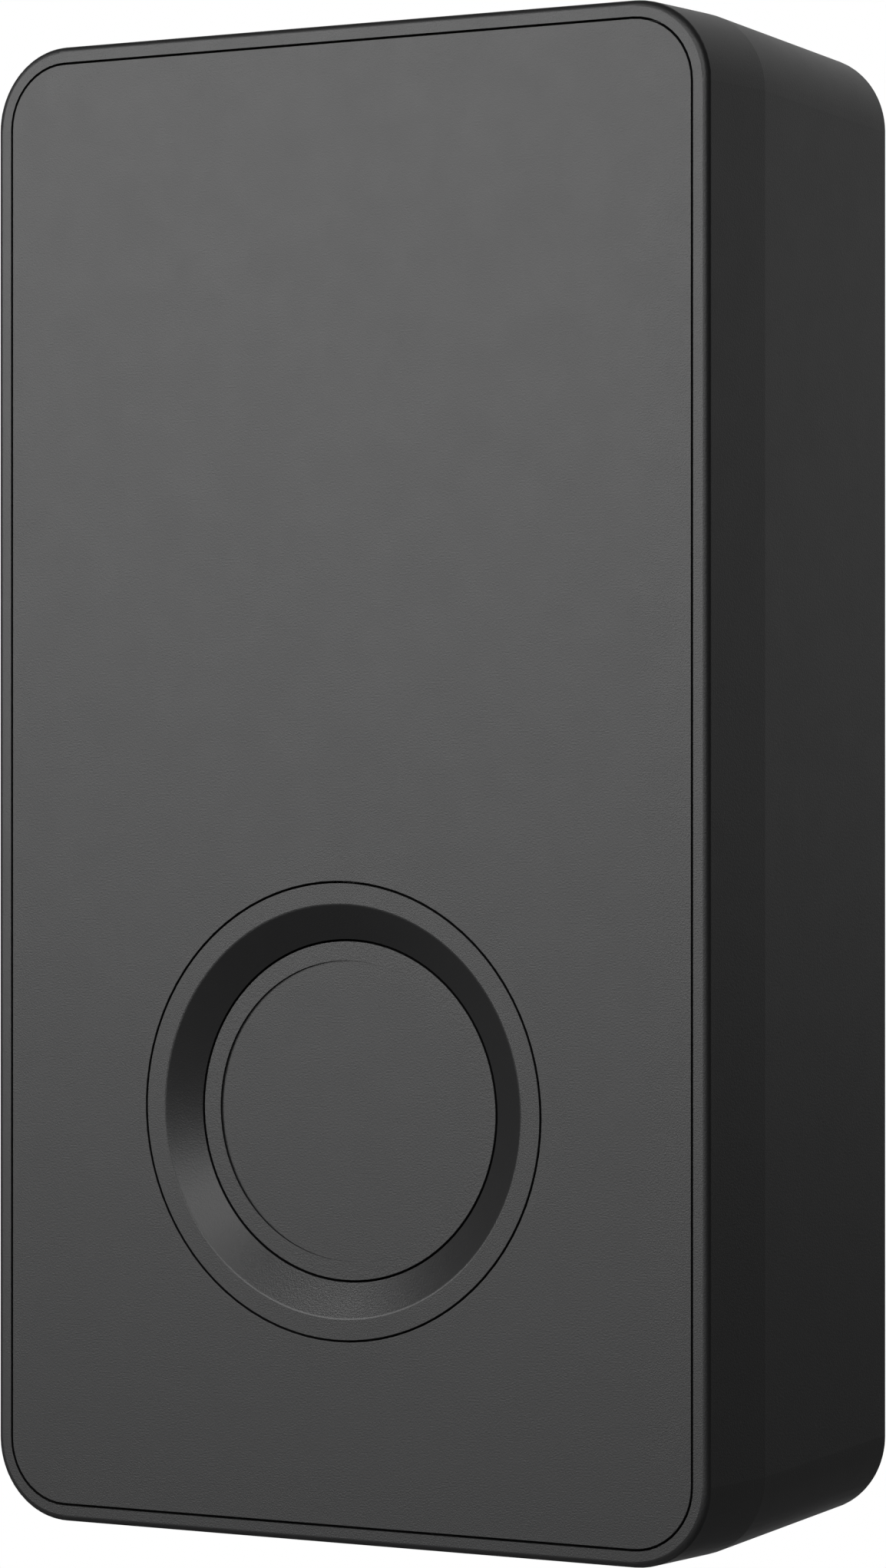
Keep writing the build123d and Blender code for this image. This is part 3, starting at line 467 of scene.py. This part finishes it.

# %% [markdown]
# ## Plain plastics and rubber
# What nobody looks at is moulded in a plain tool: the wall bracket, the battery tray, the nut and the
# seat of the spring. Their black is duller and their texture coarser than the outside's. The seals are
# silicone rubber, which is duller still, with the same coarse texture.

# %% Make the plain plastics and the rubber
def plain_plastic(name, colour, roughness):
    """Plain moulded plastic, for the pieces inside and behind."""
    finish = new_finish(name, colour, roughness)
    mottle(finish, size=0.004, change=0.12)
    uneven_gloss(finish, size=0.003, change=0.06)
    grain(finish, size=0.0004, depth=7e-6)
    return finish


bracket_plastic = plain_plastic("bracket_plastic", (0.04, 0.04, 0.041), 0.55)
inner_plastic = plain_plastic("inner_plastic", (0.018, 0.018, 0.0185), 0.5)
plunger_plastic = plain_plastic("plunger_plastic", (0.5, 0.42, 0.3), 0.45)
chip_plastic = plain_plastic("chip_plastic", (0.02, 0.02, 0.02), 0.6)
seal_rubber = plain_plastic("seal_rubber", (0.012, 0.012, 0.0125), 0.72)
print("plain plastics:", bracket_plastic.name, inner_plastic.name, plunger_plastic.name, chip_plastic.name)

# %% [markdown]
# ## Metals
# Screws are zinc plated, contacts and springs nickel plated, the insert is turned brass, and the radio's
# shield is tinned sheet. A metal has no colour under its gloss: its base colour is the colour of its
# mirror image. So it is the uneven roughness and the fine scratches that make it look like a real part.

# %% Make the metals
def plated_metal(name, colour, roughness):
    """Bare or plated metal with uneven gloss and fine scratches."""
    finish = new_finish(name, colour, roughness, metallic=1.0)
    mottle(finish, size=0.002, change=0.1)
    uneven_gloss(finish, size=0.0012, change=0.1)
    grain(finish, size=0.0003, depth=4e-6)
    return finish


screw_steel = plated_metal("screw_steel", (0.55, 0.56, 0.58), 0.32)
contact_metal = plated_metal("contact_metal", (0.64, 0.61, 0.56), 0.26)
insert_brass = plated_metal("insert_brass", (0.72, 0.5, 0.2), 0.3)
shield_metal = plated_metal("shield_metal", (0.62, 0.62, 0.6), 0.34)
capacitor_can = plated_metal("capacitor_can", (0.7, 0.7, 0.71), 0.28)
antenna_wire = plated_metal("antenna_wire", (0.75, 0.42, 0.24), 0.3)
print("metals:", screw_steel.name, contact_metal.name, insert_brass.name, shield_metal.name)

# %% [markdown]
# ## Circuit board
# The board is glass cloth under a green lacquer. The lacquer is glossy and a little uneven where copper
# runs under it, which a coarse noise in the colour and a fine one in the surface are enough to show.

# %% Make the lacquered board
board_laminate = new_finish("board_laminate", (0.012, 0.075, 0.035), 0.34)
mottle(board_laminate, size=0.0025, change=0.3)
uneven_gloss(board_laminate, size=0.002, change=0.06)
grain(board_laminate, size=0.0007, depth=9e-6)
print("board:", board_laminate.name)

# %% [markdown]
# ## Dress the solid pieces
# Most pieces already have their true shape, because they were made as solids. They keep it, and only get
# their finish. A finish goes into the object's own material slot, and the mesh stays as it is.

# %% Dress the frame
def dress(finish, *names):
    """Gives solid pieces a finish in their objects' own material slots."""
    for name in names:
        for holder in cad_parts[name].material_slots:
            holder.link = "OBJECT"
            holder.material = finish


dress(case_plastic, "rear_housing", "front_cover")
dress(plate_plastic, "face_plate")
dress(ring_plastic, "button_ring")
dress(cap_plastic, "button_cap")
dress(bracket_plastic, "wall_bracket")
dress(inner_plastic, "battery_tray", "ring_nut", "spring_seat", "switch_body")
dress(plunger_plastic, "switch_plunger")
dress(seal_rubber, "case_gasket", "plate_seal", "ring_gasket", "cap_seal")
dress(screw_steel, "case_screws", "tray_screws", "board_screws", "security_screw")
dress(insert_brass, "bracket_insert")
dress(contact_metal, "contact_bridge", "contact_negative", "contact_positive", "contact_springs")
dress(board_laminate, "main_board", "radio_board")
dress(shield_metal, "radio_shield")
dress(chip_plastic, "board_chips")
dress(capacitor_can, "capacitor")
dress(antenna_wire, "antenna_coil")
slots = {name: piece.material_slots for name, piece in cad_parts.items()}
dressed = [name for name, holders in slots.items() if holders[0].link == "OBJECT"]
print("dressed", len(dressed), "of", len(slots), "solid pieces")

# %% [markdown]
# ## Dry cells
# Two dry cells show when the face plate is off. A cell is a steel can in a shrunk plastic sleeve that
# folds over both rims, with a raised nub at one end in a black washer. The sleeve is printed in two plain
# colours, dark along the can and pale round the end with the nub.

# %% Make the finishes of a cell
cell_wrap = new_finish("cell_wrap", (0.1, 0.135, 0.17), 0.3)
mottle(cell_wrap, size=0.006, change=0.08)
uneven_gloss(cell_wrap, size=0.004, change=0.05)
grain(cell_wrap, size=0.0015, depth=12e-6)
cell_band = new_finish("cell_band", (0.42, 0.44, 0.46), 0.3)
mottle(cell_band, size=0.006, change=0.05)
uneven_gloss(cell_band, size=0.004, change=0.05)
cell_steel = plated_metal("cell_steel", (0.6, 0.6, 0.6), 0.3)
print("cell finishes:", cell_wrap.name, cell_band.name, cell_steel.name)

# %% [markdown]
# The solid of a cell is a plain rod, so it is turned again here: an outline of radii and heights is swept
# round the axis, ring by ring, and each band of the outline gets its own finish. A bevel then rounds the
# edges, as a lathe tool would.

# %% Turn the cells
ROUND_STEPS = 72
SLEEVE_LIP = 0.0018
END_SINK = 0.00015
BAND_LENGTH = 0.0075
NUB_LENGTH = 0.0015
NUB_RADIUS = 0.0027
WASHER_SINK = 0.0003
EDGE_ANGLE = math.radians(40)
EDGE_RADIUS = 0.0002
EDGE_STEPS = 3


def cell_outline(radius, length):
    """Radii and heights from the flat end to the nub, each with the finish of the band that it ends."""
    top = length - NUB_LENGTH
    rim = radius - SLEEVE_LIP
    return [
        (0.0, END_SINK, cell_steel),
        (rim, END_SINK, cell_steel),
        (rim, 0.0, cell_wrap),
        (radius, 0.0, cell_wrap),
        (radius, top - BAND_LENGTH, cell_wrap),
        (radius, top, cell_band),
        (rim, top, cell_band),
        (rim, top - WASHER_SINK, seal_rubber),
        (NUB_RADIUS, top - WASHER_SINK, seal_rubber),
        (NUB_RADIUS, length, cell_steel),
        (0.0, length, cell_steel),
    ]


def turn_mesh(name, outline):
    """Sweeps an outline of radii, heights and finishes round the upright axis."""
    mesh = bpy.data.meshes.new(name)
    finishes = []
    for point in outline:
        if point[2] not in finishes:
            finishes.append(point[2])
    for finish in finishes:
        mesh.materials.append(finish)
    bm = bmesh.new()
    rings = []
    for radius, height, finish in outline:
        steps = ROUND_STEPS if radius else 1
        turns = [2 * math.pi * step / ROUND_STEPS for step in range(steps)]
        rings.append([bm.verts.new((radius * math.cos(a), radius * math.sin(a), height)) for a in turns])
    for below, above, point in zip(rings, rings[1:], outline[1:]):
        for step in range(ROUND_STEPS):
            corners = [
                below[step % len(below)],
                below[(step + 1) % len(below)],
                above[(step + 1) % len(above)],
                above[step % len(above)],
            ]
            face = bm.faces.new(list(dict.fromkeys(corners)))
            face.material_index = finishes.index(point[2])
            face.smooth = True
    bm.to_mesh(mesh)
    bm.free()
    return mesh


def turned_cell(node, nub_up):
    """A dry cell in the place of its solid."""
    low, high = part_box(node)
    radius = (high.x - low.x) / 2
    mesh = turn_mesh(node + "_sleeved", cell_outline(radius, high.z - low.z))
    mesh.set_sharp_from_angle(angle=EDGE_ANGLE)
    cell = bpy.data.objects.new(node + "_sleeved", mesh)
    scene.collection.objects.link(cell)
    cell.location = ((low.x + high.x) / 2, (low.y + high.y) / 2, low.z if nub_up else high.z)
    cell.rotation_euler = (0.0 if nub_up else math.pi, 0.0, 0.0)
    edges = cell.modifiers.new("rounded_edges", "BEVEL")
    edges.width = EDGE_RADIUS
    edges.segments = EDGE_STEPS
    edges.limit_method = "ANGLE"
    edges.angle_limit = EDGE_ANGLE
    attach(cell, "case")
    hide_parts(node)
    return cell


cells = [turned_cell("cell_left", nub_up=True), turned_cell("cell_right", nub_up=False)]
print("cells:", [len(cell.data.polygons) for cell in cells], "faces")

# %% [markdown]
# ## Return spring
# The spring behind the button shortens when the button goes in, which no rigid piece can do. It is wound
# again as a mesh: a circle of wire is carried along a helix, and it is hung on the case.

# %% Wind the return spring
SPRING_TURNS = 4.5
SPRING_WIRE = 0.00035
STEPS_PER_TURN = 32
WIRE_SIDES = 12

spring_low, spring_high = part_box("return_spring")
spring_radius = (spring_high.x - spring_low.x) / 2 - SPRING_WIRE
spring_axis = Vector(((spring_low.x + spring_high.x) / 2, 0.0, (spring_low.z + spring_high.z) / 2))
spring_start = spring_low.y + SPRING_WIRE
spring_rise = spring_high.y - spring_low.y - 2 * SPRING_WIRE

bm = bmesh.new()
loops = []
for step in range(int(SPRING_TURNS * STEPS_PER_TURN) + 1):
    share = step / (SPRING_TURNS * STEPS_PER_TURN)
    turn = 2 * math.pi * SPRING_TURNS * share
    outward = Vector((math.cos(turn), 0.0, math.sin(turn)))
    centre = spring_axis + spring_radius * outward
    centre.y = spring_start + spring_rise * share
    ring = []
    for side in range(WIRE_SIDES):
        angle = 2 * math.pi * side / WIRE_SIDES
        offset = math.cos(angle) * outward + math.sin(angle) * Vector((0.0, 1.0, 0.0))
        ring.append(bm.verts.new(centre + SPRING_WIRE * offset))
    loops.append(ring)
for first, second in zip(loops, loops[1:]):
    for side in range(WIRE_SIDES):
        beside = (side + 1) % WIRE_SIDES
        bm.faces.new((first[side], first[beside], second[beside], second[side])).smooth = True
bm.faces.new(reversed(loops[0]))
bm.faces.new(loops[-1])
bmesh.ops.recalc_face_normals(bm, faces=bm.faces)
spring_mesh = bpy.data.meshes.new("wound_spring")
bm.to_mesh(spring_mesh)
bm.free()
spring_mesh.materials.append(contact_metal)
wound_spring = bpy.data.objects.new("wound_spring", spring_mesh)
scene.collection.objects.link(wound_spring)
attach(wound_spring, "case")
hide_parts("return_spring")
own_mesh(wound_spring)
